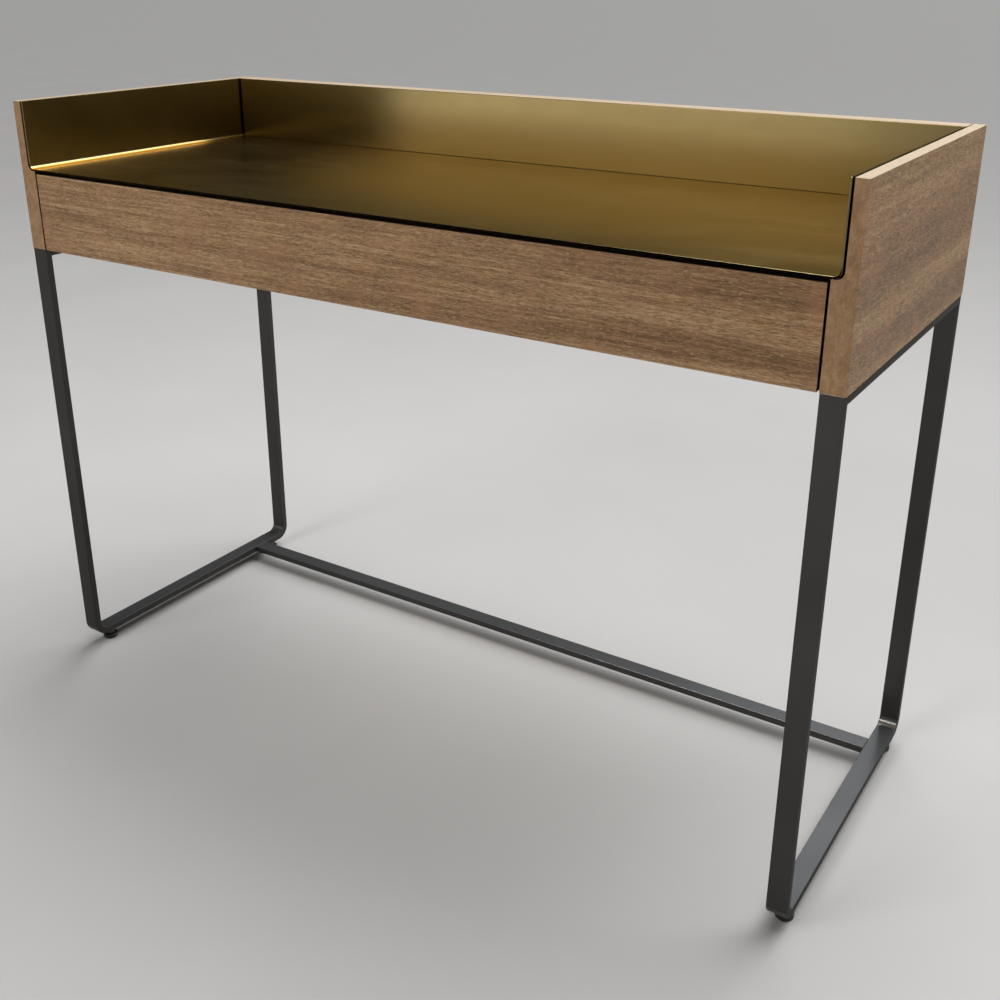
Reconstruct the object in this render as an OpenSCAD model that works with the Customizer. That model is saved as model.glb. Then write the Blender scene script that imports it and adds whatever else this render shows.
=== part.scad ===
// Writing desk: a veneered box with one wide drawer and a brass tray top, on two steel loop frames.
// X runs along the width, the front faces -Y, Z is up.
// The origin is on the floor, under the middle of the desk.

/* [Overall] */
// Width over the side panels
desk_w = 1200; // [1000:10:1600]
// Depth from the drawer front to the back panel
desk_d = 460; // [450:5:560]
// Height of the wooden box
box_h = 207.5; // [200:0.5:240]
// Height of the steel frame, from the underside of the floor bar to the box
frame_h = 646; // [560:1:700]

/* [Side panels] */
// Thickness of the lower part
side_lower_t = 26.7; // [24:0.1:32]
// Thickness of the upper part, beside the tray
side_upper_t = 14; // [12:0.5:18]
// Radius of the cove at the step
cove_r = 8; // [4:0.5:8]

/* [Other panels] */
// Thickness of the back panel
back_t = 28; // [22:1:30]
// Thickness of the bottom panel
bottom_t = 12; // [10:1:14]
// Thickness of the panel that carries the tray
support_t = 12; // [10:1:14]
// Gap between the drawer front and the bottom panel, for the fingers
finger_gap = 26; // [20:1:40]

/* [Brass tray] */
// Thickness of the sheet
sheet_t = 2; // [1.5:0.5:3]
// Height of the underside of the tray above the bottom of the box
tray_h = 113; // [113:0.5:120]
// Outer radius of the bend between floor and wall
tray_bend_r = 8; // [4:0.5:8]
// Shadow gap between the sheets and the wood
shadow_gap = 2.5; // [2:0.5:4]
// Seam between the tray and the back sheet
back_seam = 3.5; // [1:0.5:5]

/* [Drawer] */
// Thickness of the drawer front
front_t = 19; // [16:1:22]
// Height of the drawer front
front_h = 108.5; // [100:0.5:108.5]
// Gap between the drawer front and each side panel
front_side_gap = 2.7; // [2:0.1:4]
// Length of the drawer box behind the front
drawer_l = 410; // [405:1:410]
// Height of the drawer sides
drawer_h = 70; // [60:1:72]
// Thickness of the drawer sides and back
drawer_t = 12; // [12:1:15]
// Height of the drawer box above the bottom of the desk box
drawer_lift = 18; // [17:1:20]

/* [Frame] */
// Width of the flat bar
bar_w = 25.5; // [25:0.5:30]
// Thickness of the flat bar
bar_t = 10.5; // [10:0.5:12]
// Inner bend radius at the floor corners
bend_r = 13; // [8:1:20]
// Inset of the frame from the outer face of the side panel
frame_inset = 0.7; // [0:0.1:2]
// Distance from the back of the desk to the stretcher
stretcher_back = 60.4; // [50:0.1:120]

/* [Feet] */
// Height of the foot below the floor bar
foot_h = 16; // [12:1:20]
// Diameter of the foot pad
pad_d = 22.5; // [18:0.5:24]
// Distance of the foot from the front and from the back of the desk
foot_inset = 35; // [30:1:60]

/* [Hidden] */
$fn = 48;

wood_colour = "#9c7c5e";
inner_wood_colour = "#cdb892";
brass_colour = "#9a7a3c";
frame_colour = "#3d3d3e";
steel_colour = "#b9bcc0";
screw_colour = "#8d9094";
rubber_colour = "#1c1c1d";

// Main planes
front_y = -desk_d / 2;
back_y = desk_d / 2;
box_z = foot_h + frame_h;
top_z = box_z + box_h;
tray_z = box_z + tray_h;
panel_x = desk_w / 2 - side_lower_t;
upper_x = desk_w / 2 - side_upper_t;
back_face_y = back_y - back_t;

// Cove at the step of the side panels, just under the bend of the tray
step_h = tray_h - 0.7;

// Tray and back sheet
sheet_x = upper_x - shadow_gap;
sheet_h = top_z - tray_z;
back_sheet_y = back_face_y - shadow_gap - sheet_t;
tray_back_y = back_sheet_y - back_seam;

// Bonding pads behind the sheets
pad_l = 60;
pad_h = 40;
pad_lift = 30;
side_pads_y = [-140, 0, 140];
back_pads_x = [-440, -220, 0, 220, 440];

// Drawer
front_back_y = front_y + front_t;
drawer_back_y = front_back_y + drawer_l;
runner_t = 12.7;
drawer_x = panel_x - runner_t;
drawer_z = box_z + drawer_lift;
drawer_bottom_t = 6;
drawer_bottom_lift = 6;
groove_depth = 6;
support_gap = 2;
grip_r = 6.5;
grip_z = box_z + 11.5;
grip_end = 60;
bumper_r = 5;
bumper_gap = 0.2;

// Wooden dowels
dowel_r = 3;
dowel_l = 32;
dowel_depth = 13;
dowel_clearance = 0.05;
panel_dowels_y = [-120, 60, 150];
back_dowels_z = [28, 78];
back_dowel_y = back_y - back_t / 2;
drawer_dowels_z = [drawer_z + 22, drawer_z + 56];
drawer_dowel_x = drawer_x - drawer_t / 2;

// Runners: u runs from the side panel towards the drawer, v is the height from the middle
runner_l = 400;
runner_y = front_back_y + 3;
runner_z = drawer_z + drawer_h / 2;
rail_t = 1.2;
cabinet_half_h = 22.5;
cabinet_lip = 10.2;
ball_gap = 3;
ball_r = 1.2;
middle_u = 3.5;
middle_lip = 7.1;
middle_half_h = cabinet_half_h - rail_t - ball_gap;
drawer_rail_lip = 6.5;
drawer_rail_half_h = middle_half_h - rail_t - ball_gap;
cage_t = 0.6;
cage_l = 190;
cage_y = runner_y + 103;
cage_balls = 5;
cage_lip = 7;
outer_cage_u = 2;
inner_cage_u = 5;
ball_pocket = 0.1;

// Screws of the runners
runner_screw_r = 1.8;
runner_screw_head_r = 3.5;
runner_screw_l = 15;
drawer_screw_l = 10;
drawer_screw_head_h = 1.5;
runner_screws_y = [runner_y + 35, runner_y + 195, runner_y + 355];
back_screw_r = 2;
back_screw_head_r = 4;
back_screw_l = 40;
back_screws_z = [drawer_z + 17, drawer_z + 63];
screw_clearance = 0.05;

// Steel frame
frame_x = desk_w / 2 - frame_inset - bar_w;
floor_bar_z = foot_h;
bar_middle_x = frame_x + bar_w / 2;
stretcher_y = back_y - stretcher_back - bar_w;

// Screws that hold the frame to the side panels
frame_screws_y = [-190, 0, 190];
frame_screw_r = 3;
frame_screw_head_r = 6;
frame_screw_head_h = 3;
frame_screw_l = 28;
insert_r = 5;
insert_h = 16;
screw_pocket = 20;

// Feet
pad_h_foot = 7;
pad_edge = 1;
collar_r = 8;
collar_gap = 0.1;
stud_r = 4;
stud_depth = 8.8;
stud_hole_depth = 9.2;
stud_clearance = 0.05;
foot_y = desk_d / 2 - foot_inset;

// ---------- shared shapes ----------

// A cylinder along X, from x = 0
module rod_x(r, l) {
    rotate([0, 90, 0]) cylinder(r = r, h = l);
}

// A cylinder along Y, from y = 0
module rod_y(r, l) {
    rotate([-90, 0, 0]) cylinder(r = r, h = l);
}

// Shows its children on the right (side = 1) or mirrored to the left (side = -1)
module on_side(side) {
    mirror([side < 0 ? 1 : 0, 0, 0]) children();
}

// Shows its children on both sides
module on_both_sides() {
    children();
    mirror([1, 0, 0]) children();
}

// Extrudes an outline drawn as [x, z] along +Y, from y to y + l
module along_y(y, l) {
    translate([0, y + l, 0]) rotate([90, 0, 0]) linear_extrude(l) children();
}

// Extrudes an outline drawn as [y, z] along +X, from x to x + l
module along_x(x, l) {
    translate([x, 0, 0]) rotate([90, 0, 90]) linear_extrude(l) children();
}

// A rectangle with its two lower corners rounded, standing on z = 0
module trough(w, h, r) {
    translate([-w / 2, r]) square([w, h - r]);
    translate([-w / 2 + r, 0]) square([w - 2 * r, h]);
    for (side = [-1, 1]) translate([side * (w / 2 - r), r]) circle(r);
}

// ---------- dowels and their holes ----------

// Every dowel of the carcase on the right side, grown by a clearance
module right_dowels(clearance) {
    inner_l = dowel_l - dowel_depth;
    for (y = panel_dowels_y) {
        translate([panel_x - inner_l, y, box_z + bottom_t / 2]) rod_x(dowel_r + clearance, dowel_l);
        translate([panel_x - inner_l, y, tray_z - support_t / 2]) rod_x(dowel_r + clearance, dowel_l);
    }
    for (z = back_dowels_z) {
        translate([panel_x - inner_l, back_dowel_y, box_z + z]) rod_x(dowel_r + clearance, dowel_l);
    }
}

module panel_dowels() {
    color(inner_wood_colour) on_both_sides() right_dowels(0);
}

// ---------- carcase ----------

// Outline of the right side panel, seen from the front
module side_outline() {
    difference() {
        translate([panel_x, 0]) square([side_lower_t, box_h]);
        translate([panel_x - 1, step_h + cove_r]) square([upper_x - panel_x + 1, box_h]);
        translate([panel_x - 1, step_h]) square([upper_x - panel_x + 1 - cove_r, cove_r + 1]);
        translate([upper_x - cove_r, step_h + cove_r]) circle(cove_r);
    }
}

module side_panel(side) {
    color(wood_colour) on_side(side) difference() {
        translate([0, 0, box_z]) along_y(front_y, desk_d) side_outline();
        right_dowels(dowel_clearance);
        for (y = frame_screws_y) {
            translate([bar_middle_x, y, box_z - 1]) cylinder(r = insert_r, h = insert_h + 1);
            translate([bar_middle_x, y, box_z]) cylinder(r = frame_screw_r + 1, h = screw_pocket);
        }
        for (y = runner_screws_y) {
            translate([panel_x - 1, y, runner_z]) {
                rod_x(runner_screw_r + screw_clearance, runner_screw_l + 1);
            }
        }
    }
}

module left_side_panel() side_panel(-1);
module right_side_panel() side_panel(1);

module back_panel() {
    color(wood_colour) difference() {
        union() {
            translate([-panel_x, back_face_y, box_z]) cube([2 * panel_x, back_t, box_h]);
            along_y(back_face_y, back_t) translate([0, tray_z]) trough(2 * sheet_x, sheet_h, tray_bend_r);
        }
        on_both_sides() right_dowels(dowel_clearance);
    }
}

module bottom_panel() {
    panel_front = front_back_y + finger_gap;
    color(wood_colour) difference() {
        translate([-panel_x, panel_front, box_z]) {
            cube([2 * panel_x, back_face_y - panel_front, bottom_t]);
        }
        on_both_sides() right_dowels(dowel_clearance);
    }
}

module tray_support_panel() {
    panel_front = front_back_y + support_gap;
    color(wood_colour) difference() {
        translate([-panel_x, panel_front, tray_z - support_t]) {
            cube([2 * panel_x, back_face_y - panel_front, support_t]);
        }
        on_both_sides() right_dowels(dowel_clearance);
    }
}

// ---------- brass sheets ----------

module brass_tray() {
    color(brass_colour) translate([0, 0, tray_z]) along_y(front_y, tray_back_y - front_y) difference() {
        trough(2 * sheet_x, sheet_h, tray_bend_r);
        translate([0, sheet_t]) trough(2 * (sheet_x - sheet_t), sheet_h, tray_bend_r - sheet_t);
    }
}

module brass_back_sheet() {
    color(brass_colour) translate([0, 0, tray_z]) along_y(back_sheet_y, sheet_t) {
        trough(2 * sheet_x, sheet_h, tray_bend_r);
    }
}

module tray_bonding_pads() {
    pad_z = tray_z + pad_lift;
    color(rubber_colour) {
        on_both_sides() for (y = side_pads_y) {
            translate([sheet_x, y - pad_l / 2, pad_z]) cube([shadow_gap, pad_l, pad_h]);
        }
        for (x = back_pads_x) {
            translate([x - pad_l / 2, back_face_y - shadow_gap, pad_z]) cube([pad_l, shadow_gap, pad_h]);
        }
    }
}

// ---------- steel frame ----------

// Outline of the bent bar, seen from the side: two legs and the floor bar between them
module hoop_outline() {
    difference() {
        trough(desk_d, frame_h, bend_r + bar_t);
        translate([0, bar_t]) trough(desk_d - 2 * bar_t, frame_h, bend_r);
    }
}

module foot_holes() {
    for (end = [-1, 1]) {
        translate([bar_middle_x, end * foot_y, floor_bar_z - 1]) {
            cylinder(r = stud_r + stud_clearance, h = stud_hole_depth + 1);
        }
    }
}

module leg_hoop(side) {
    color(frame_colour) on_side(side) difference() {
        translate([0, 0, floor_bar_z]) along_x(frame_x, bar_w) hoop_outline();
        foot_holes();
    }
}

module left_leg_hoop() leg_hoop(-1);
module right_leg_hoop() leg_hoop(1);

// One countersunk screw, pointing up from the underside of the mounting bar
module frame_screw(clearance) {
    cylinder(r1 = frame_screw_head_r + clearance, r2 = frame_screw_r + clearance, h = frame_screw_head_h);
    cylinder(r = frame_screw_r + clearance, h = frame_screw_l + clearance);
}

module mounting_bar(side) {
    color(frame_colour) on_side(side) difference() {
        translate([frame_x, front_y + bar_t, box_z - bar_t]) cube([bar_w, desk_d - 2 * bar_t, bar_t]);
        for (y = frame_screws_y) {
            translate([bar_middle_x, y, box_z - bar_t]) frame_screw(screw_clearance);
        }
    }
}

module left_mounting_bar() mounting_bar(-1);
module right_mounting_bar() mounting_bar(1);

module stretcher() {
    color(frame_colour) translate([-frame_x, stretcher_y, floor_bar_z]) cube([2 * frame_x, bar_w, bar_t]);
}

module frame_screws() {
    color(screw_colour) on_both_sides() for (y = frame_screws_y) {
        translate([bar_middle_x, y, box_z - bar_t]) frame_screw(0);
    }
}

module frame_inserts() {
    color(screw_colour) on_both_sides() for (y = frame_screws_y) {
        translate([bar_middle_x, y, box_z]) difference() {
            cylinder(r = insert_r - screw_clearance, h = insert_h - 1);
            translate([0, 0, -1]) cylinder(r = frame_screw_r + screw_clearance, h = insert_h + 1);
        }
    }
}

// ---------- drawer ----------

// The panel under the contents, which sits in grooves of the front and the sides
module drawer_bottom_block() {
    half_w = drawer_x - drawer_t + groove_depth;
    translate([-half_w, front_back_y - groove_depth, drawer_z + drawer_bottom_lift]) {
        cube([2 * half_w, drawer_l + groove_depth, drawer_bottom_t]);
    }
}

module right_drawer_dowels(clearance) {
    for (z = drawer_dowels_z) {
        translate([drawer_dowel_x, front_back_y - dowel_depth, z]) rod_y(dowel_r + clearance, dowel_l);
    }
}

// The two screws through the right drawer side into the drawer back
module right_back_screws(clearance) {
    head_h = back_screw_head_r - back_screw_r;
    for (z = back_screws_z) translate([drawer_x, drawer_back_y - drawer_t / 2, z]) rotate([0, -90, 0]) {
        cylinder(r1 = back_screw_head_r + clearance, r2 = back_screw_r + clearance, h = head_h);
        cylinder(r = back_screw_r + clearance, h = back_screw_l + clearance);
    }
}

module drawer_front() {
    half_w = panel_x - front_side_gap;
    color(wood_colour) difference() {
        translate([-half_w, front_y, box_z]) cube([2 * half_w, front_t, front_h]);
        drawer_bottom_block();
        on_both_sides() right_drawer_dowels(dowel_clearance);
        translate([-half_w + grip_end, front_back_y, grip_z]) rod_x(grip_r, 2 * (half_w - grip_end));
    }
}

module drawer_side(side) {
    color(inner_wood_colour) on_side(side) difference() {
        translate([drawer_x - drawer_t, front_back_y, drawer_z]) cube([drawer_t, drawer_l, drawer_h]);
        drawer_bottom_block();
        right_drawer_dowels(dowel_clearance);
        right_back_screws(screw_clearance);
        for (y = runner_screws_y) {
            translate([drawer_x - drawer_screw_l - screw_clearance, y, runner_z]) {
                rod_x(runner_screw_r + screw_clearance, drawer_screw_l + 1);
            }
        }
    }
}

module drawer_left_side() drawer_side(-1);
module drawer_right_side() drawer_side(1);

module drawer_back() {
    half_w = drawer_x - drawer_t;
    back_z = drawer_z + drawer_bottom_lift + drawer_bottom_t;
    color(inner_wood_colour) difference() {
        translate([-half_w, drawer_back_y - drawer_t, back_z]) {
            cube([2 * half_w, drawer_t, drawer_z + drawer_h - back_z]);
        }
        on_both_sides() right_back_screws(screw_clearance);
    }
}

module drawer_bottom() {
    color(inner_wood_colour) drawer_bottom_block();
}

module drawer_dowels() {
    color(inner_wood_colour) on_both_sides() right_drawer_dowels(0);
}

module drawer_back_screws() {
    color(screw_colour) on_both_sides() right_back_screws(0);
}

module drawer_bumpers() {
    color(rubber_colour) on_both_sides() translate([drawer_dowel_x, drawer_back_y + bumper_gap, runner_z]) {
        rod_y(bumper_r, back_face_y - drawer_back_y - bumper_gap);
    }
}

// ---------- runners ----------

// Places an outline drawn as [u, v] on the right runner and extrudes it along Y
module on_runner(y, l) {
    translate([panel_x, 0, runner_z]) mirror([1, 0, 0]) along_y(y, l) children();
}

// A channel of sheet: web at u, lips of the given length towards the drawer
module channel(u, lip, half_h, t) {
    difference() {
        translate([u, -half_h]) square([lip, 2 * half_h]);
        translate([u + t, -half_h + t]) square([lip, 2 * (half_h - t)]);
    }
}

// Screws of the right cabinet member, their heads flush with its web
module right_cabinet_screws(clearance) {
    head_h = rail_t;
    for (y = runner_screws_y) translate([panel_x - rail_t, y, runner_z]) {
        rotate([0, 90, 0]) {
            cylinder(r1 = runner_screw_head_r + clearance, r2 = runner_screw_r + clearance, h = head_h);
            cylinder(r = runner_screw_r + clearance, h = rail_t + runner_screw_l - 1);
        }
    }
}

// Screws of the right drawer member, their heads inside its channel
module right_drawer_screws(clearance) {
    web_u = runner_t - rail_t;
    for (y = runner_screws_y) translate([panel_x - web_u, y, runner_z]) rotate([0, -90, 0]) {
        translate([0, 0, -drawer_screw_head_h]) cylinder(r = runner_screw_head_r, h = drawer_screw_head_h);
        cylinder(r = runner_screw_r + clearance, h = rail_t + drawer_screw_l);
    }
}

module cabinet_member(side) {
    color(steel_colour) on_side(side) difference() {
        on_runner(runner_y, runner_l) channel(0, cabinet_lip, cabinet_half_h, rail_t);
        right_cabinet_screws(screw_clearance);
    }
}

module left_cabinet_member() cabinet_member(-1);
module right_cabinet_member() cabinet_member(1);

module middle_member(side) {
    color(steel_colour) on_side(side) on_runner(runner_y, runner_l) {
        channel(middle_u, middle_lip, middle_half_h, rail_t);
    }
}

module left_middle_member() middle_member(-1);
module right_middle_member() middle_member(1);

module drawer_member(side) {
    color(steel_colour) on_side(side) difference() {
        on_runner(runner_y, runner_l) translate([runner_t, 0]) mirror([1, 0]) {
            channel(0, drawer_rail_lip, drawer_rail_half_h, rail_t);
        }
        right_drawer_screws(screw_clearance);
    }
}

module left_drawer_member() drawer_member(-1);
module right_drawer_member() drawer_member(1);

// A ball cage: a thin channel with a row of balls in each lip. v is the height of the ball centres.
module ball_cage(side, u, v) {
    ball_u = u + cage_lip - 2.2;
    pitch = cage_l / cage_balls;
    color(steel_colour) on_side(side) {
        difference() {
            on_runner(cage_y, cage_l) channel(u, cage_lip, v + cage_t / 2, cage_t);
            for (i = [0 : cage_balls - 1]) {
                translate([panel_x - ball_u, cage_y + (i + 0.5) * pitch, runner_z - v - 1]) {
                    cylinder(r = ball_r + ball_pocket, h = 2 * v + 2);
                }
            }
        }
        for (i = [0 : cage_balls - 1], end = [-1, 1]) {
            translate([panel_x - ball_u, cage_y + (i + 0.5) * pitch, runner_z + end * v]) sphere(ball_r);
        }
    }
}

outer_ball_v = middle_half_h + ball_gap / 2;
inner_ball_v = drawer_rail_half_h + ball_gap / 2;

module left_outer_ball_cage() ball_cage(-1, outer_cage_u, outer_ball_v);
module right_outer_ball_cage() ball_cage(1, outer_cage_u, outer_ball_v);
module left_inner_ball_cage() ball_cage(-1, inner_cage_u, inner_ball_v);
module right_inner_ball_cage() ball_cage(1, inner_cage_u, inner_ball_v);

module cabinet_member_screws() {
    color(screw_colour) on_both_sides() right_cabinet_screws(0);
}

module drawer_member_screws() {
    color(screw_colour) on_both_sides() right_drawer_screws(0);
}

// ---------- feet ----------

// The disc that stands on the floor, with both rims bevelled
module foot_pad(side, end) {
    r = pad_d / 2;
    color(rubber_colour) translate([side * bar_middle_x, end * foot_y, 0]) rotate_extrude() polygon([
        [0, 0], [r - pad_edge, 0], [r, pad_edge], [r, pad_h_foot - pad_edge],
        [r - pad_edge, pad_h_foot], [0, pad_h_foot]
    ]);
}

// The collar above the pad and the thread that runs up into the floor bar
module foot_stud(side, end) {
    color(screw_colour) translate([side * bar_middle_x, end * foot_y, pad_h_foot]) {
        cylinder(r = collar_r, h = foot_h - pad_h_foot - collar_gap);
        cylinder(r = stud_r, h = foot_h - pad_h_foot + stud_depth);
    }
}

module front_left_foot_pad() foot_pad(-1, -1);
module front_right_foot_pad() foot_pad(1, -1);
module back_left_foot_pad() foot_pad(-1, 1);
module back_right_foot_pad() foot_pad(1, 1);
module front_left_foot_stud() foot_stud(-1, -1);
module front_right_foot_stud() foot_stud(1, -1);
module back_left_foot_stud() foot_stud(-1, 1);
module back_right_foot_stud() foot_stud(1, 1);

// ---------- what is drawn ----------

left_side_panel();
right_side_panel();
back_panel();
bottom_panel();
tray_support_panel();
panel_dowels();
brass_tray();
brass_back_sheet();
tray_bonding_pads();
left_leg_hoop();
right_leg_hoop();
left_mounting_bar();
right_mounting_bar();
stretcher();
frame_screws();
frame_inserts();
drawer_front();
drawer_left_side();
drawer_right_side();
drawer_back();
drawer_bottom();
drawer_dowels();
drawer_back_screws();
drawer_bumpers();
left_cabinet_member();
right_cabinet_member();
left_middle_member();
right_middle_member();
left_drawer_member();
right_drawer_member();
left_outer_ball_cage();
right_outer_ball_cage();
left_inner_ball_cage();
right_inner_ball_cage();
cabinet_member_screws();
drawer_member_screws();
front_left_foot_pad();
front_right_foot_pad();
back_left_foot_pad();
back_right_foot_pad();
front_left_foot_stud();
front_right_foot_stud();
back_left_foot_stud();
back_right_foot_stud();
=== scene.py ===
import math

import bmesh
import bpy
from mathutils import Matrix, Vector


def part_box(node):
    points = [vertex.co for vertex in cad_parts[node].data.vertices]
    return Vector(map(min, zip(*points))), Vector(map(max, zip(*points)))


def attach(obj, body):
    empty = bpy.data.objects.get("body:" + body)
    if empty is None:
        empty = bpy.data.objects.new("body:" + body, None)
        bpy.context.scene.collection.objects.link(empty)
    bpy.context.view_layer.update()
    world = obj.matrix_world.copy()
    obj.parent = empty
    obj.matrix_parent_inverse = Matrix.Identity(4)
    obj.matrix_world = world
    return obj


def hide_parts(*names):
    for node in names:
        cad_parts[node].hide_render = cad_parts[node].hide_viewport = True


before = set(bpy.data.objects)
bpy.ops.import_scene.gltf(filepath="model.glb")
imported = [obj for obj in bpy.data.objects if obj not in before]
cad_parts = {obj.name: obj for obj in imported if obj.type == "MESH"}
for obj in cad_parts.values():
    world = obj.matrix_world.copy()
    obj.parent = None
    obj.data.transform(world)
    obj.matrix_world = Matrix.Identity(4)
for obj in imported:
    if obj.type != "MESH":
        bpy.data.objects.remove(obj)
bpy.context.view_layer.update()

MM = 0.001
FULL_TURN = 2 * math.pi

# ---------------------------------------------------------------- places, from the frame

SHEET = 2 * MM              # thickness of the brass sheet
TOP_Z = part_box("right_side_panel")[1].z
FRONT_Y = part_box("brass_tray")[0].y
TRAY_FLOOR_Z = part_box("brass_tray")[0].z + SHEET


# ---------------------------------------------------------------- node materials

def tone(red, green, blue):
    """A colour given as 0 to 255 on a screen, as the linear values that shaders take."""
    def channel(value):
        value /= 255
        return value / 12.92 if value <= 0.04045 else ((value + 0.055) / 1.055) ** 2.4
    return (channel(red), channel(green), channel(blue), 1.0)


class Look:
    """A node material under construction. Its methods add one node each and return its output."""

    def __init__(self, name):
        self.material = bpy.data.materials.new(name)
        self.material.use_nodes = True
        self.nodes = self.material.node_tree.nodes
        self.links = self.material.node_tree.links
        self.shader = self.nodes["Principled BSDF"]
        self.place = self.nodes.new("ShaderNodeTexCoord").outputs["Object"]

    def put(self, value, socket):
        if isinstance(value, bpy.types.NodeSocket):
            self.links.new(value, socket)
        else:
            socket.default_value = value

    def set(self, **values):
        """Sets sockets of the main shader, such as base_color or roughness."""
        names = {"base_color": "Base Color", "specular": "Specular IOR Level",
                 "edge_tint": "Specular Tint"}
        for name, value in values.items():
            self.put(value, self.shader.inputs[names.get(name, name.capitalize())])

    def space(self, scale, shift=(0, 0, 0)):
        """Object coordinates, scaled and shifted."""
        node = self.nodes.new("ShaderNodeMapping")
        node.inputs["Scale"].default_value = scale
        node.inputs["Location"].default_value = shift
        self.links.new(self.place, node.inputs["Vector"])
        return node.outputs["Vector"]

    def noise(self, vector, scale=1.0, detail=2.0, roughness=0.5, distortion=0.0):
        node = self.nodes.new("ShaderNodeTexNoise")
        self.links.new(vector, node.inputs["Vector"])
        node.inputs["Scale"].default_value = scale
        node.inputs["Detail"].default_value = detail
        node.inputs["Roughness"].default_value = roughness
        node.inputs["Distortion"].default_value = distortion
        return node.outputs["Fac"]

    def cells(self, vector, scale=1.0):
        """A random grey for each cell of a Voronoi pattern."""
        node = self.nodes.new("ShaderNodeTexVoronoi")
        self.links.new(vector, node.inputs["Vector"])
        node.inputs["Scale"].default_value = scale
        return node.outputs["Color"]

    def span(self, value, low, high, to_low=0.0, to_high=1.0):
        """The value's stretch from low to high, moved to to_low to to_high and clamped."""
        node = self.nodes.new("ShaderNodeMapRange")
        self.put(value, node.inputs["Value"])
        node.inputs["From Min"].default_value = low
        node.inputs["From Max"].default_value = high
        node.inputs["To Min"].default_value = to_low
        node.inputs["To Max"].default_value = to_high
        return node.outputs["Result"]

    def maths(self, operation, first, second):
        node = self.nodes.new("ShaderNodeMath")
        node.operation = operation
        self.put(first, node.inputs[0])
        self.put(second, node.inputs[1])
        return node.outputs[0]

    def ramp(self, value, *stops):
        """A colour ramp: each stop is (position, colour)."""
        node = self.nodes.new("ShaderNodeValToRGB")
        while len(node.color_ramp.elements) < len(stops):
            node.color_ramp.elements.new(0.5)
        for element, (position, colour) in zip(node.color_ramp.elements, stops):
            element.position = position
            element.color = colour
        self.put(value, node.inputs["Fac"])
        return node.outputs["Color"]

    def mix(self, first, second, factor, blend="MIX"):
        node = self.nodes.new("ShaderNodeMix")
        node.data_type = "RGBA"
        node.blend_type = blend
        self.put(factor, node.inputs["Factor"])
        self.put(first, node.inputs["A"])
        self.put(second, node.inputs["B"])
        return next(out for out in node.outputs if out.type == "RGBA")

    def axes(self):
        """Object coordinates as three outputs."""
        node = self.nodes.new("ShaderNodeSeparateXYZ")
        self.links.new(self.place, node.inputs[0])
        return node.outputs

    def normal(self, kind="True Normal"):
        """The direction that the surface faces, as three outputs."""
        node = self.nodes.new("ShaderNodeNewGeometry")
        split = self.nodes.new("ShaderNodeSeparateXYZ")
        self.links.new(node.outputs[kind], split.inputs[0])
        return split.outputs

    def bump(self, height, distance, strength=1.0):
        """Raises the surface by the height times the distance, on top of earlier bumps."""
        node = self.nodes.new("ShaderNodeBump")
        node.inputs["Distance"].default_value = distance
        node.inputs["Strength"].default_value = strength
        self.links.new(height, node.inputs["Height"])
        earlier = self.shader.inputs["Normal"].links
        if earlier:
            self.links.new(earlier[0].from_socket, node.inputs["Normal"])
        self.links.new(node.outputs["Normal"], self.shader.inputs["Normal"])


def along_grain(axis, along, across):
    """A scale that squeezes round noise into streaks along one axis."""
    return tuple(along if name == axis else across for name in "XYZ")


def facing(look, axis, sign):
    """1 where the surface faces along an axis, 0 elsewhere."""
    return look.span(look.normal()[axis], 0.85 * sign, 0.95 * sign)


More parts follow.
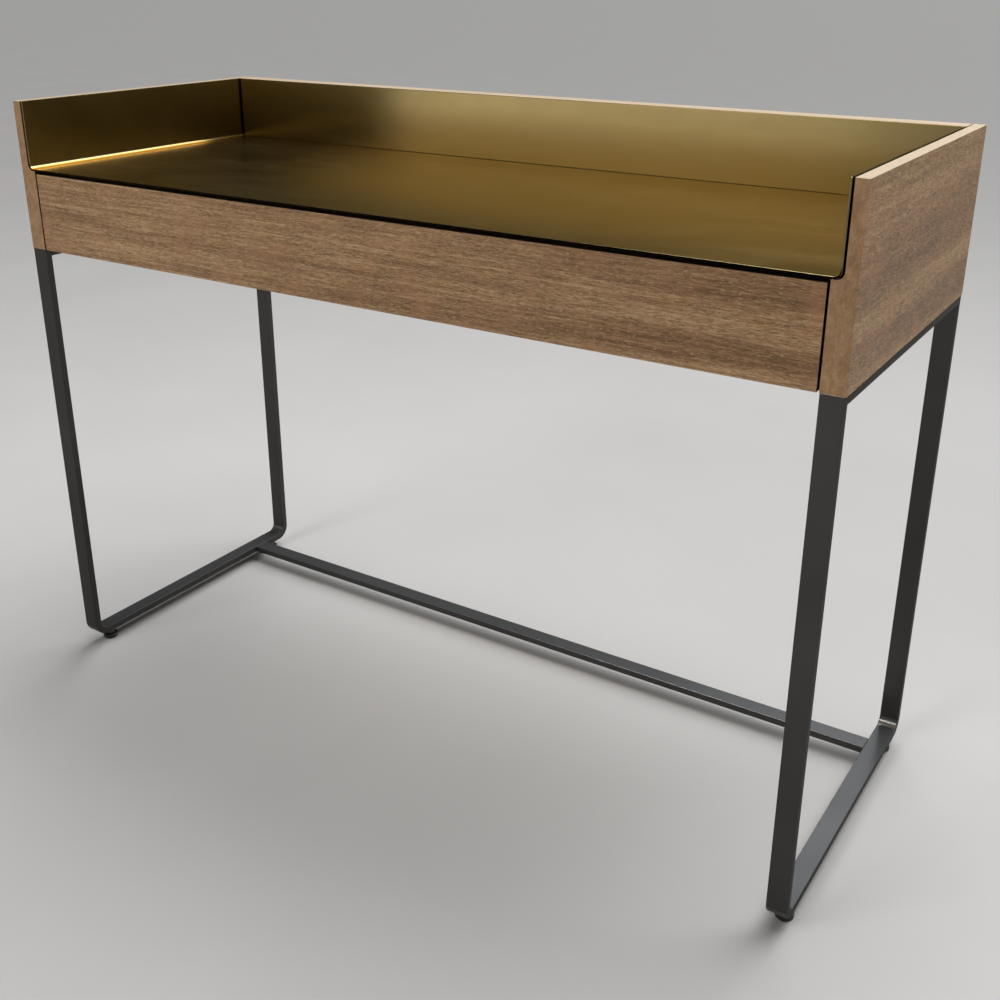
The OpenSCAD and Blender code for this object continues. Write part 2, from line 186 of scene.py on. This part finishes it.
def veneer(name, axis, shift, shade_painted_faces=(), speckle=0.3, edged=False):
    """Brown veneer with a fine straight grain: broad bands, streaks, fibres and short pores.
    The edges that line a shadow gap, given as (axis, sign), are painted dark as the shade in the gap,
    and an edged panel has a strip of cloudy cross-cut veneer on its front edge."""
    look = Look(name)
    bands = look.noise(look.space(along_grain(axis, 1.3, 30), shift), detail=3, distortion=0.5)
    streaks = look.noise(look.space(along_grain(axis, 9, 300), shift), detail=6, roughness=0.75)
    fibres = look.noise(look.space(along_grain(axis, 100, 700), shift), detail=4, roughness=0.8)
    pores = look.noise(look.space(along_grain(axis, 130, 900), shift), detail=1)
    painted_glints = look.noise(look.space(along_grain(axis, 170, 760), shift), detail=1)
    blotches = look.noise(look.space((26, 26, 26), shift), detail=3)
    grain = look.maths("MULTIPLY", look.span(bands, 0.3, 0.7), 0.30)
    streaky = look.maths("MULTIPLY", look.span(streaks, 0.32, 0.68), 0.70 - speckle)
    speckled = look.maths("MULTIPLY", look.span(fibres, 0.34, 0.66), speckle)
    grain = look.maths("ADD", look.maths("ADD", grain, streaky), speckled)
    colour = look.ramp(
        look.span(grain, 0.27, 0.73),
        (0.0, tone(119, 86, 54)), (0.35, tone(148, 112, 75)),
        (0.6, tone(165, 128, 88)), (1.0, tone(198, 163, 121)))
    pore = look.span(pores, 0.58, 0.66)
    painted_glint = look.span(painted_glints, 0.60, 0.70)
    colour = look.mix(colour, tone(92, 66, 42), look.maths("MULTIPLY", pore, 0.55))
    # Painted highlight: pale flecks stand in for specks of light on the grain.
    colour = look.mix(colour, tone(220, 190, 150), look.maths("MULTIPLY", painted_glint, 0.4))
    colour = look.mix(colour, tone(183, 131, 94), look.span(blotches, 0.5, 0.7, 0.0, 0.35))
    if edged:
        clouds = look.noise(look.space((110, 110, 70), shift), detail=4, roughness=0.6, distortion=0.8)
        strip = look.ramp(
            clouds,
            (0.3, tone(146, 108, 72)), (0.5, tone(172, 134, 95)), (0.7, tone(192, 154, 114)))
        colour = look.mix(colour, strip, look.maths("MULTIPLY", facing(look, "Y", -1), 0.65))
    # Painted highlight: the top edges of the desk are painted paler, as the sheen of light from above.
    painted_top_edge_light = look.span(look.axes()["Z"], TOP_Z - 0.6 * MM, TOP_Z - 0.3 * MM)
    colour = look.mix(colour, tone(206, 192, 168), look.maths("MULTIPLY", painted_top_edge_light, 0.6))
    # Painted shade: the faces that line a shadow gap are painted dark brown.
    for side, sign in shade_painted_faces:
        colour = look.mix(colour, tone(46, 35, 26), facing(look, side, sign))
    look.set(base_color=colour, roughness=look.span(streaks, 0.3, 0.7, 0.44, 0.56), specular=0.35)
    look.bump(look.maths("SUBTRACT", fibres, pore), 0.12 * MM, 0.5)
    return look.material


def plywood(name, layer_axis, layer_start, layers, thickness, axis, shift):
    """Clear lacquered birch ply with its grain along axis. The layers are stacked along layer_axis
    from layer_start, so the faces show the outer layer and the edges show all of them."""
    look = Look(name)
    depth = look.maths("SUBTRACT", look.axes()["XYZ".index(layer_axis)], layer_start)
    count = look.maths("MULTIPLY", look.maths("ABSOLUTE", depth, 0.0), layers / thickness)
    within = look.maths("PINGPONG", count, 1.0)
    crossed = look.span(within, 0.46, 0.54)
    from_glue = look.maths("ABSOLUTE", look.maths("SUBTRACT", within, 0.5), 0.0)
    glue = look.span(from_glue, 0.0, 0.09, 1.0, 0.0)
    streaks = look.noise(look.space(along_grain(axis, 6, 150), shift), detail=5, roughness=0.6)
    fibres = look.noise(look.space(along_grain(axis, 30, 1100), shift), detail=2)
    flame = look.noise(look.space(along_grain(axis, 3, 14), shift), detail=2, distortion=1.2)
    face = look.ramp(
        look.maths("ADD", look.maths("MULTIPLY", streaks, 0.55), look.maths("MULTIPLY", flame, 0.45)),
        (0.32, tone(190, 160, 118)), (0.5, tone(214, 187, 146)), (0.68, tone(226, 203, 166)))
    ends = look.mix(face, tone(168, 132, 92), 0.6)
    colour = look.mix(face, ends, look.maths("MULTIPLY", crossed, 0.75))
    colour = look.mix(colour, tone(104, 72, 46), look.maths("MULTIPLY", glue, 0.6))
    look.set(base_color=colour, roughness=look.span(fibres, 0.3, 0.7, 0.38, 0.52))
    look.bump(fibres, 0.08 * MM, 0.5)
    return look.material


def brass():
    """Satin brass sheet: fine brushing along the desk, faint wipe marks, a painted highlight of bright
    brass along the front top edge, and a cut face painted dark as shade: near-black along the tray
    floor, dull on the walls."""
    look = Look("satin_brass")
    brushing = look.noise(look.space((14, 900, 900)), detail=4, roughness=0.7)
    wipes = look.noise(look.space((7, 16, 16)), detail=4, roughness=0.6, distortion=0.8)
    clouds = look.noise(look.space((3.2, 4.5, 4.5), (1.7, 0.4, 0.9)), detail=3)
    colour = look.ramp(
        look.maths("ADD", look.maths("MULTIPLY", clouds, 0.6), look.maths("MULTIPLY", brushing, 0.4)),
        (0.30, (0.345, 0.262, 0.112, 1)), (0.55, (0.365, 0.278, 0.120, 1)),
        (0.75, (0.385, 0.295, 0.13, 1)))
    y = look.axes()["Y"]
    z = look.axes()["Z"]
    # Painted highlight: a thin line of bright brass along the front top edge.
    painted_arris_highlight = look.span(y, FRONT_Y + 0.45 * MM, FRONT_Y + 0.35 * MM)
    colour = look.mix(colour, (0.80, 0.66, 0.38, 1), painted_arris_highlight)
    # Painted shade: the cut face is darkened, near-black along the tray floor and dull brass up the
    # walls.
    cut = look.span(y, FRONT_Y + 0.14 * MM, FRONT_Y + 0.08 * MM)
    painted_shade_cut = look.ramp(
        look.span(z, TRAY_FLOOR_Z + 4 * MM, TRAY_FLOOR_Z + 12 * MM),
        (0.0, (0.003, 0.002, 0.001, 1)), (1.0, (0.20, 0.155, 0.075, 1)))
    colour = look.mix(colour, painted_shade_cut, cut)
    matt = look.span(wipes, 0.35, 0.68, 0.20, 0.25)
    matt = look.maths("ADD", matt, look.span(brushing, 0.3, 0.7, -0.02, 0.02))
    look.set(base_color=colour, edge_tint=(1.0, 0.82, 0.52, 1), roughness=matt, metallic=1.0)
    look.bump(brushing, 0.015 * MM, 0.2)
    return look.material


def on_bend(look):
    """1 where a hoop bends between upright and level, 0 on its flat faces and its long edges."""
    x, y, z = [look.maths("ABSOLUTE", part, 0.0) for part in look.normal("Normal")]
    return look.span(look.maths("ADD", look.maths("MAXIMUM", y, z), x), 0.99, 0.80)


def powder_coat():
    """Anthracite powder coat with metallic pigment and a fine orange-peel texture. The faces that look
    up are painted paler as light from above, and the bends are painted brighter and more metallic as
    their highlight."""
    look = Look("anthracite_powder_coat")
    peel = look.noise(look.space((1, 1, 1)), scale=900, detail=2)
    speckle = look.noise(look.space((1, 1, 1)), scale=2600, detail=1)
    drift = look.noise(look.space((1, 1, 1)), scale=6, detail=3)
    tones = look.maths("ADD", look.maths("MULTIPLY", drift, 0.7), look.maths("MULTIPLY", speckle, 0.3))
    colour = look.ramp(tones, (0.35, tone(70, 69, 67)), (0.65, tone(79, 78, 76)))
    painted_upper_light = look.ramp(tones, (0.35, tone(78, 79, 80)), (0.65, tone(88, 89, 90)))
    painted_bend_highlight = on_bend(look)
    # Painted light: the faces that look up are paler, as lit from above.
    colour = look.mix(colour, painted_upper_light, facing(look, "Z", 1))
    # Painted highlight: the bends are pale grey and more metallic.
    colour = look.mix(colour, tone(150, 150, 149), painted_bend_highlight)
    look.set(base_color=colour, metallic=look.span(painted_bend_highlight, 0, 1, 0.4, 0.9), specular=0.0,
             edge_tint=(0.5, 0.5, 0.5, 1), roughness=look.span(peel, 0.3, 0.7, 0.21, 0.27))
    look.bump(peel, 0.06 * MM, 0.3)
    return look.material


def zinc(name, low, high, roughness):
    """Zinc plating over steel, from the colour low to the colour high, with faint spangle and
    handling marks."""
    look = Look(name)
    spangle = look.cells(look.space((1, 1, 1)), scale=420)
    marks = look.noise(look.space((40, 9, 40)), detail=4, roughness=0.7)
    colour = look.ramp(
        look.maths("ADD", look.maths("MULTIPLY", spangle, 0.45), look.maths("MULTIPLY", marks, 0.55)),
        (0.25, low), (0.8, high))
    matt = look.span(marks, 0.3, 0.7, roughness, roughness + 0.14)
    look.set(base_color=colour, metallic=1.0, roughness=matt)
    look.bump(marks, 0.05 * MM, 0.4)
    return look.material


def nylon():
    """Black moulded nylon with a fine grain and scuffs."""
    look = Look("black_nylon")
    grain = look.noise(look.space((1, 1, 1)), scale=1800, detail=2)
    scuffs = look.noise(look.space((60, 60, 200)), detail=3, distortion=1.0)
    colour = look.ramp(scuffs, (0.35, tone(34, 34, 34)), (0.7, tone(56, 55, 54)))
    look.set(base_color=colour, roughness=look.span(scuffs, 0.3, 0.7, 0.38, 0.58))
    look.bump(grain, 0.06 * MM, 0.6)
    return look.material


def foam():
    """Black closed-cell foam."""
    look = Look("closed_cell_foam")
    bubbles = look.cells(look.space((1, 1, 1)), scale=1500)
    colour = look.ramp(bubbles, (0.0, tone(20, 20, 20)), (1.0, tone(36, 36, 36)))
    look.set(base_color=colour, roughness=look.span(bubbles, 0, 1, 0.8, 0.95))
    look.bump(bubbles, 0.15 * MM, 0.8)
    return look.material


def studio_floor():
    """Pale painted floor with the faintest mottling."""
    look = Look("studio_floor")
    mottle = look.noise(look.space((1, 1, 1)), scale=3.0, detail=4)
    colour = look.ramp(mottle, (0.3, (0.525, 0.52, 0.512, 1)), (0.7, (0.545, 0.54, 0.532, 1)))
    look.set(base_color=colour, roughness=look.span(mottle, 0.3, 0.7, 0.75, 0.85), specular=0.15)
    return look.material


# ---------------------------------------------------------------- finishes of the CAD nodes

def soften(node, width, segments=2):
    """Rounds a CAD node's sharp edges and shades it smoothly. Its own mesh stays as it is."""
    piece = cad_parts[node]
    weld = piece.modifiers.new("weld", "WELD")
    weld.merge_threshold = 0.005 * MM
    bevel = piece.modifiers.new("bevel", "BEVEL")
    bevel.width = width
    bevel.segments = segments
    bevel.limit_method = "ANGLE"
    bevel.angle_limit = math.radians(40)
    bevel.use_clamp_overlap = False
    bevel.miter_outer = "MITER_ARC"
    normals = piece.modifiers.new("normals", "WEIGHTED_NORMAL")
    normals.keep_sharp = False
    normals.weight = 60


def finish(nodes, material, width, segments=2):
    """Gives CAD nodes their material and a bevel of the given width."""
    for node in nodes:
        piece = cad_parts[node]
        for slot in piece.material_slots:
            slot.material = material
        soften(node, width, segments)


SIDES = ("left", "right")
ENDS = ("front", "back")
FEET = [f"{end}_{side}_foot" for end in ENDS for side in SIDES]

# Bevel widths, from the sharpest edges to the roundest.
PRESSED = 0.15 * MM         # pressed and turned steel
CRISP = 0.25 * MM           # panels whose edges line a shadow gap
CUT = 0.3 * MM              # thin ply, dowels and foam
EASED = 0.4 * MM            # hidden panels and brass
OUTER = 0.5 * MM            # back panel
SANDED = 0.8 * MM           # drawer box and steel bars

finish(["left_side_panel"],
       veneer("veneer_left_side", "Y", (3.1, 0.2, 1.4),
              shade_painted_faces=[("X", 1)], speckle=0.45, edged=True), CRISP)
finish(["right_side_panel"],
       veneer("veneer_right_side", "Y", (0.6, 5.3, 2.2),
              shade_painted_faces=[("X", -1)], speckle=0.45, edged=True), CRISP)
finish(["back_panel"], veneer("veneer_back", "X", (4.4, 1.3, 0.7)), OUTER)
finish(["bottom_panel"], veneer("veneer_bottom", "X", (2.5, 7.1, 3.3)), EASED)
finish(["tray_support_panel"], veneer("veneer_tray_support", "X", (6.2, 0.9, 5.1)), EASED)
finish(["drawer_front"],
       veneer("veneer_drawer_front", "X", (1.9, 3.7, 0.3),
              shade_painted_faces=[("Z", 1), ("X", 1), ("X", -1)]), CRISP)


def ply_panel(node, layer_axis, layers, grain_axis, shift, width, segments=2):
    """Gives a drawer panel layers across its thickness, which lies along layer_axis."""
    low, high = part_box(node)
    index = "XYZ".index(layer_axis)
    material = plywood(f"ply_{node}", layer_axis, low[index], layers, high[index] - low[index],
                       grain_axis, shift)
    finish([node], material, width, segments)


PLY_LAYERS = 9
THIN_PLY_LAYERS = 5
ply_panel("drawer_right_side", "X", PLY_LAYERS, "Y", (1.2, 0.4, 0.8), SANDED, 3)
ply_panel("drawer_left_side", "X", PLY_LAYERS, "Y", (0.2, 2.4, 1.8), SANDED, 3)
ply_panel("drawer_back", "Y", PLY_LAYERS, "X", (2.2, 1.4, 0.3), SANDED, 3)
ply_panel("drawer_bottom", "Z", THIN_PLY_LAYERS, "X", (0.7, 3.4, 2.3), CUT)
WIDER_THAN_DESK = 5.0       # the dowels are solid wood: one layer, wider than the whole desk
finish(["panel_dowels", "drawer_dowels"],
       plywood("beech_dowels", "X", 0.0, 1, WIDER_THAN_DESK, "X", (5, 4, 3)), CUT)

finish(["brass_tray", "brass_back_sheet"], brass(), EASED)
finish(["left_leg_hoop", "right_leg_hoop", "left_mounting_bar", "right_mounting_bar", "stretcher"],
       powder_coat(), SANDED, 3)
bright_zinc = zinc("bright_zinc_runners", tone(168, 170, 172), tone(206, 208, 209), 0.26)
screw_zinc = zinc("zinc_screws", tone(150, 150, 148), tone(196, 196, 192), 0.24)
dark_zinc = zinc("dark_zinc_studs", tone(84, 84, 83), tone(112, 112, 110), 0.3)
black_nylon = nylon()
RUNNER_PARTS = ("cabinet_member", "middle_member", "drawer_member", "outer_ball_cage", "inner_ball_cage")
finish([f"{side}_{part}" for side in SIDES for part in RUNNER_PARTS], bright_zinc, PRESSED)
finish(["frame_inserts"], screw_zinc, PRESSED)
finish(["tray_bonding_pads", "drawer_bumpers"], foam(), CUT)


# ---------------------------------------------------------------- turned hardware

ROUND = None                # the outline of a plain ring
GROOVE = 1.3                # how far a thread's groove is widened, against its crest


def hexagon(across_flats):
    """The outline of a hexagon, as the radius at each angle."""
    sixth = FULL_TURN / 6

    def radius(angle):
        return across_flats / 2 / math.cos((angle + sixth / 2) % sixth - sixth / 2)
    return radius


def cross(length, width):
    """The outline of a cross recess, as the radius at each angle."""
    quarter = FULL_TURN / 4

    def radius(angle):
        off_arm = (angle + quarter / 2) % quarter - quarter / 2
        return min(length / 2 / math.cos(off_arm), width / 2 / max(abs(math.sin(off_arm)), 0.01))
    return radius


def helix(height, core, crest, pitch):
    """The outline of a screw thread at one height, as the radius at each angle."""
    def radius(angle):
        phase = (height / pitch - angle / FULL_TURN) % 1
        return core + (crest - core) * max(0, 1 - abs(2 * phase - 1) * GROOVE)
    return radius


def thread(start, end, core, crest, pitch, rings_per_turn=6):
    """The rings of a thread from one height to another."""
    count = round(abs(end - start) / pitch * rings_per_turn)
    heights = [start + (end - start) * i / count for i in range(count + 1)]
    return [(2 * crest, height, helix(height, core, crest, pitch)) for height in heights]


def turn(bm, place, rings, steps):
    """Adds a closed form made of rings round the Z axis of the matrix place. Each ring is
    (radius, height, outline), and an outline cuts the radius down where it is smaller."""
    loops = []
    for radius, height, outline in rings:
        angles = [FULL_TURN * i / steps for i in range(steps)]
        radii = [min(radius, outline(angle)) if outline else radius for angle in angles]
        loops.append([bm.verts.new(place @ Vector((r * math.cos(a), r * math.sin(a), height)))
                      for r, a in zip(radii, angles)])
    for lower, upper in zip(loops, loops[1:]):
        for i in range(steps):
            j = (i + 1) % steps
            bm.faces.new((lower[i], lower[j], upper[j], upper[i]))
    bm.faces.new(loops[0][::-1])
    bm.faces.new(loops[-1])


def hardware(name, node, body, material, parts, steps=48):
    """One piece of turned parts, each (place, rings), which stands for a CAD node."""
    bm = bmesh.new()
    for place, rings in parts:
        turn(bm, place, rings, steps)
    bmesh.ops.recalc_face_normals(bm, faces=bm.faces)
    for face in bm.faces:
        face.smooth = True
    for edge in bm.edges:
        edge.smooth = edge.calc_face_angle(0) < math.radians(35)
    mesh = bpy.data.meshes.new(name)
    bm.to_mesh(mesh)
    bm.free()
    mesh.materials.append(material)
    piece = bpy.data.objects.new(name, mesh)
    bpy.context.scene.collection.objects.link(piece)
    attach(piece, body)
    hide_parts(node)


def in_mm(rings):
    """Rings given in millimetres, with the outlines already in metres."""
    return [(radius * MM, height * MM, outline) for radius, height, outline in rings]


PAD_RINGS = in_mm([
    (9.0, 0.0, ROUND), (10.2, 0.0, ROUND), (10.75, 0.15, ROUND), (11.1, 0.5, ROUND),
    (11.25, 1.0, ROUND), (11.25, 3.3, ROUND), (11.0, 3.5, ROUND), (11.0, 3.8, ROUND),
    (11.25, 4.0, ROUND), (11.25, 5.6, ROUND), (11.1, 6.2, ROUND), (10.7, 6.65, ROUND),
    (10.1, 6.9, ROUND), (9.2, 7.0, ROUND)])
COLLAR_HEX = hexagon(14.4 * MM)
COLLAR_RINGS = in_mm([
    (7.2, 0.0, ROUND), (7.4, 0.0, ROUND), (7.7, 0.25, ROUND), (7.7, 1.1, ROUND), (7.3, 1.3, ROUND),
    (7.5, 1.35, COLLAR_HEX), (8.0, 1.7, COLLAR_HEX), (8.0, 8.1, COLLAR_HEX), (7.5, 8.6, COLLAR_HEX),
    (7.1, 8.75, ROUND), (5.2, 8.9, ROUND), (4.0, 8.9, ROUND)])

for foot in FEET:
    pad_low, pad_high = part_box(f"{foot}_pad")
    stud_low, stud_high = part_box(f"{foot}_stud")
    middle = (pad_low + pad_high) / 2
    on_floor = Matrix.Translation((middle.x, middle.y, pad_low.z))
    on_pad = Matrix.Translation((middle.x, middle.y, stud_low.z))
    hardware(f"{foot}_pad_moulded", f"{foot}_pad", foot, black_nylon,
             [(on_floor, PAD_RINGS)], 72)
    length = stud_high.z - stud_low.z
    stud_rings = COLLAR_RINGS + thread(start=9.0 * MM, end=length - 0.6 * MM,
                                       core=3.3 * MM, crest=4.0 * MM, pitch=1.25 * MM)
    stud_rings += in_mm([(2.9, length / MM, ROUND)])
    hardware(f"{foot}_stud_threaded", f"{foot}_stud", foot, dark_zinc,
             [(on_pad, stud_rings)], 48)


def points_along(direction):
    """A turn that points a part's Z axis along a direction."""
    return Vector(direction).to_track_quat("Z", "Y").to_matrix().to_4x4()


def screw_rings(head_radius, head, recess_rings, shank_radius, length, pitch, pan=False):
    """A screw that points up from the face of its head at height 0, where head is the head's height.
    A countersunk head narrows over its height, and a pan head has a domed rim."""
    rim = 0.25 * MM
    if pan:
        rings = recess_rings + [
            (head_radius - 4 * rim, 0.0, ROUND), (head_radius - 1.5 * rim, 0.8 * rim, ROUND),
            (head_radius, 3 * rim, ROUND), (head_radius, head, ROUND), (shank_radius, head, ROUND)]
    else:
        rings = recess_rings + [
            (head_radius - rim, 0.0, ROUND), (head_radius, rim, ROUND), (shank_radius, head, ROUND)]
    rings.append((shank_radius, head + 1.5 * MM, ROUND))
    rings += thread(head + 1.6 * MM, length - 1.2 * MM, 0.72 * shank_radius, shank_radius, pitch)
    return rings + [(0.2 * MM, length, ROUND)]


def socket_rings(across_flats, depth):
    """A hexagon socket, from its floor out to the face."""
    outline = hexagon(across_flats)
    return [(0.2 * MM, depth + 0.5 * MM, ROUND), (across_flats, depth, outline),
            (across_flats, 0.2 * MM, outline), (0.62 * across_flats, 0.0, ROUND)]


def cross_rings(length, width, depth):
    """A cross recess, from its floor out to the face."""
    return [(0.1 * MM, depth, ROUND), (length, 0.9 * depth, cross(0.45 * length, 0.5 * width)),
            (length, 0.1 * MM, cross(length, width)), (length, 0.0, cross(1.06 * length, 1.2 * width)),
            (0.56 * length, 0.0, ROUND)]


bar_low, bar_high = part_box("right_mounting_bar")
bar_middle_x = (bar_low.x + bar_high.x) / 2
frame_screw = screw_rings(head_radius=6 * MM, head=3 * MM,
                          recess_rings=socket_rings(across_flats=4 * MM, depth=2.2 * MM),
                          shank_radius=3 * MM, length=28 * MM, pitch=1 * MM)
FRAME_SCREWS_Y = (-0.19, 0.0, 0.19)
frame_screw_places = [Matrix.Translation((side * bar_middle_x, y, bar_low.z))
                      for side in (-1, 1) for y in FRAME_SCREWS_Y]
hardware("frame_screws_countersunk", "frame_screws", "desk", screw_zinc,
         [(place, frame_screw) for place in frame_screw_places], 36)

screws_low, screws_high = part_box("drawer_back_screws")
BACK_HEAD_RADIUS = 4 * MM
back_screw = screw_rings(head_radius=BACK_HEAD_RADIUS, head=2 * MM,
                         recess_rings=cross_rings(length=4 * MM, width=1.1 * MM, depth=1.6 * MM),
                         shank_radius=2 * MM, length=40 * MM, pitch=1.8 * MM)
back_screw_y = (screws_low.y + screws_high.y) / 2
back_screw_places = [
    Matrix.Translation((side * screws_high.x, back_screw_y, z)) @ points_along((-side, 0, 0))
    for side in (-1, 1) for z in (screws_low.z + BACK_HEAD_RADIUS, screws_high.z - BACK_HEAD_RADIUS)]
hardware("drawer_back_screws_countersunk", "drawer_back_screws", "drawer", screw_zinc,
         [(place, back_screw) for place in back_screw_places], 32)

WEB = 1.2 * MM              # thickness of the runners' steel
PAN_HEAD = 1.5 * MM         # height of the heads on the drawer members
RUNNER_HEAD_RADIUS = 3.5 * MM
RUNNER_SHANK_RADIUS = 1.8 * MM
RUNNER_PITCH = 1.4 * MM
cabinet_low, cabinet_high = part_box("right_cabinet_member")
screws_low, screws_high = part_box("cabinet_member_screws")
first_y = screws_low.y + RUNNER_HEAD_RADIUS
last_y = screws_high.y - RUNNER_HEAD_RADIUS
runner_screws_y = (first_y, (first_y + last_y) / 2, last_y)
runner_z = (cabinet_low.z + cabinet_high.z) / 2
cabinet_screw = screw_rings(head_radius=RUNNER_HEAD_RADIUS, head=WEB,
                            recess_rings=cross_rings(length=3.4 * MM, width=1.0 * MM, depth=1.0 * MM),
                            shank_radius=RUNNER_SHANK_RADIUS,
                            length=screws_high.x - cabinet_high.x + WEB, pitch=RUNNER_PITCH)
cabinet_screw_places = [
    Matrix.Translation((side * (cabinet_high.x - WEB), y, runner_z)) @ points_along((side, 0, 0))
    for side in (-1, 1) for y in runner_screws_y]
hardware("cabinet_member_screws_flush", "cabinet_member_screws", "desk", screw_zinc,
         [(place, cabinet_screw) for place in cabinet_screw_places], 32)

screws_low, screws_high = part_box("drawer_member_screws")
drawer_screw = screw_rings(head_radius=RUNNER_HEAD_RADIUS, head=PAN_HEAD,
                           recess_rings=cross_rings(length=3.6 * MM, width=1.0 * MM, depth=1.2 * MM),
                           shank_radius=RUNNER_SHANK_RADIUS,
                           length=PAN_HEAD + WEB + 10 * MM, pitch=RUNNER_PITCH, pan=True)
drawer_screw_places = [
    Matrix.Translation((side * screws_high.x, y, runner_z)) @ points_along((-side, 0, 0))
    for side in (-1, 1) for y in runner_screws_y]
hardware("drawer_member_screws_pan_head", "drawer_member_screws", "drawer", screw_zinc,
         [(place, drawer_screw) for place in drawer_screw_places], 32)


# ---------------------------------------------------------------- floor

def make_floor():
    mesh = bpy.data.meshes.new("floor")
    reach = 60.0
    mesh.from_pydata([(-reach, -reach, 0), (reach, -reach, 0), (reach, reach, 0), (-reach, reach, 0)],
                     [], [(0, 1, 2, 3)])
    floor = bpy.data.objects.new("floor", mesh)
    bpy.context.scene.collection.objects.link(floor)
    floor.data.materials.append(studio_floor())


make_floor()

# ---------------------------------------------------------------- light

DESK_MIDDLE = Vector((0, 0, 0.6))


def direction(azimuth, elevation):
    """A unit vector: azimuth runs from +Y towards +X."""
    a, e = math.radians(azimuth), math.radians(elevation)
    return Vector((math.sin(a) * math.cos(e), math.cos(a) * math.cos(e), math.sin(e)))


def softbox(name, azimuth, elevation, distance, width, height, radiance, target=DESK_MIDDLE):
    """A rectangular studio light that faces the desk. It gives light and doesn't show to the camera."""
    light = bpy.data.lights.new(name, "AREA")
    light.shape = "RECTANGLE"
    light.size = width
    light.size_y = height
    light.energy = radiance * math.pi * width * height
    lamp = bpy.data.objects.new(name, light)
    bpy.context.scene.collection.objects.link(lamp)
    towards = direction(azimuth, elevation)
    lamp.location = target + distance * towards
    lamp.rotation_euler = towards.to_track_quat("Z", "Y").to_euler()
    lamp.visible_camera = False


def make_key(azimuth, elevation, strength, spread):
    """The main light: a wide soft disc high behind the desk, far away, so that it lights the
    whole floor."""
    light = bpy.data.lights.new("key", "SUN")
    light.energy = strength
    light.angle = math.radians(spread)
    lamp = bpy.data.objects.new("key", light)
    bpy.context.scene.collection.objects.link(lamp)
    lamp.rotation_euler = direction(azimuth, elevation).to_track_quat("Z", "Y").to_euler()


def make_world(radiance, backdrop):
    """A dim room that the brass mirrors. The camera sees a pale backdrop past the floor instead."""
    world = bpy.data.worlds.new("studio")
    world.use_nodes = True
    nodes = world.node_tree.nodes
    links = world.node_tree.links
    mix = nodes.new("ShaderNodeMix")
    mix.data_type = "RGBA"
    mix.inputs["A"].default_value = (radiance, radiance, radiance, 1)
    mix.inputs["B"].default_value = (backdrop, backdrop, backdrop, 1)
    links.new(nodes.new("ShaderNodeLightPath").outputs["Is Camera Ray"], mix.inputs["Factor"])
    mixed = next(out for out in mix.outputs if out.type == "RGBA")
    links.new(mixed, nodes["Background"].inputs["Color"])
    bpy.context.scene.world = world


make_world(radiance=0.055, backdrop=0.34)
make_key(azimuth=10, elevation=51, strength=2.45, spread=58)
# The tray mirrors these boxes: a dark left end, a bright line in its left bend, a lighter right end.
softbox("overhead", azimuth=50, elevation=76, distance=3.0, width=3.0, height=3.0, radiance=2.6)
softbox("front_left_low", azimuth=-152, elevation=4.6, distance=4.0, width=2.8, height=1.85,
        radiance=0.86, target=Vector((0, 0, 0.8)))
softbox("back_right_low", azimuth=50, elevation=10, distance=4.0, width=3.0, height=1.6, radiance=0.14)
softbox("front_left_high", azimuth=-160, elevation=40, distance=4.0, width=1.4, height=0.9, radiance=9.5)

bpy.context.scene.view_settings.view_transform = "Standard"

# ---------------------------------------------------------------- camera

CAMERA_PLACE = (0.9078, -1.3251, 1.0488)
CAMERA_TURN = 33.006      # degrees to the left of straight ahead
CAMERA_DIP = 21.442       # degrees below level


def make_camera():
    camera = bpy.data.cameras.new("camera")
    camera.lens = 43.468
    camera.sensor_width = 36.0
    camera.shift_x = 0.0085
    camera.shift_y = -0.0631
    camera.clip_end = 200
    view = bpy.data.objects.new("camera", camera)
    bpy.context.scene.collection.objects.link(view)
    view.location = CAMERA_PLACE
    view.rotation_euler = (math.radians(90 - CAMERA_DIP), 0, math.radians(CAMERA_TURN))
    bpy.context.scene.camera = view


make_camera()
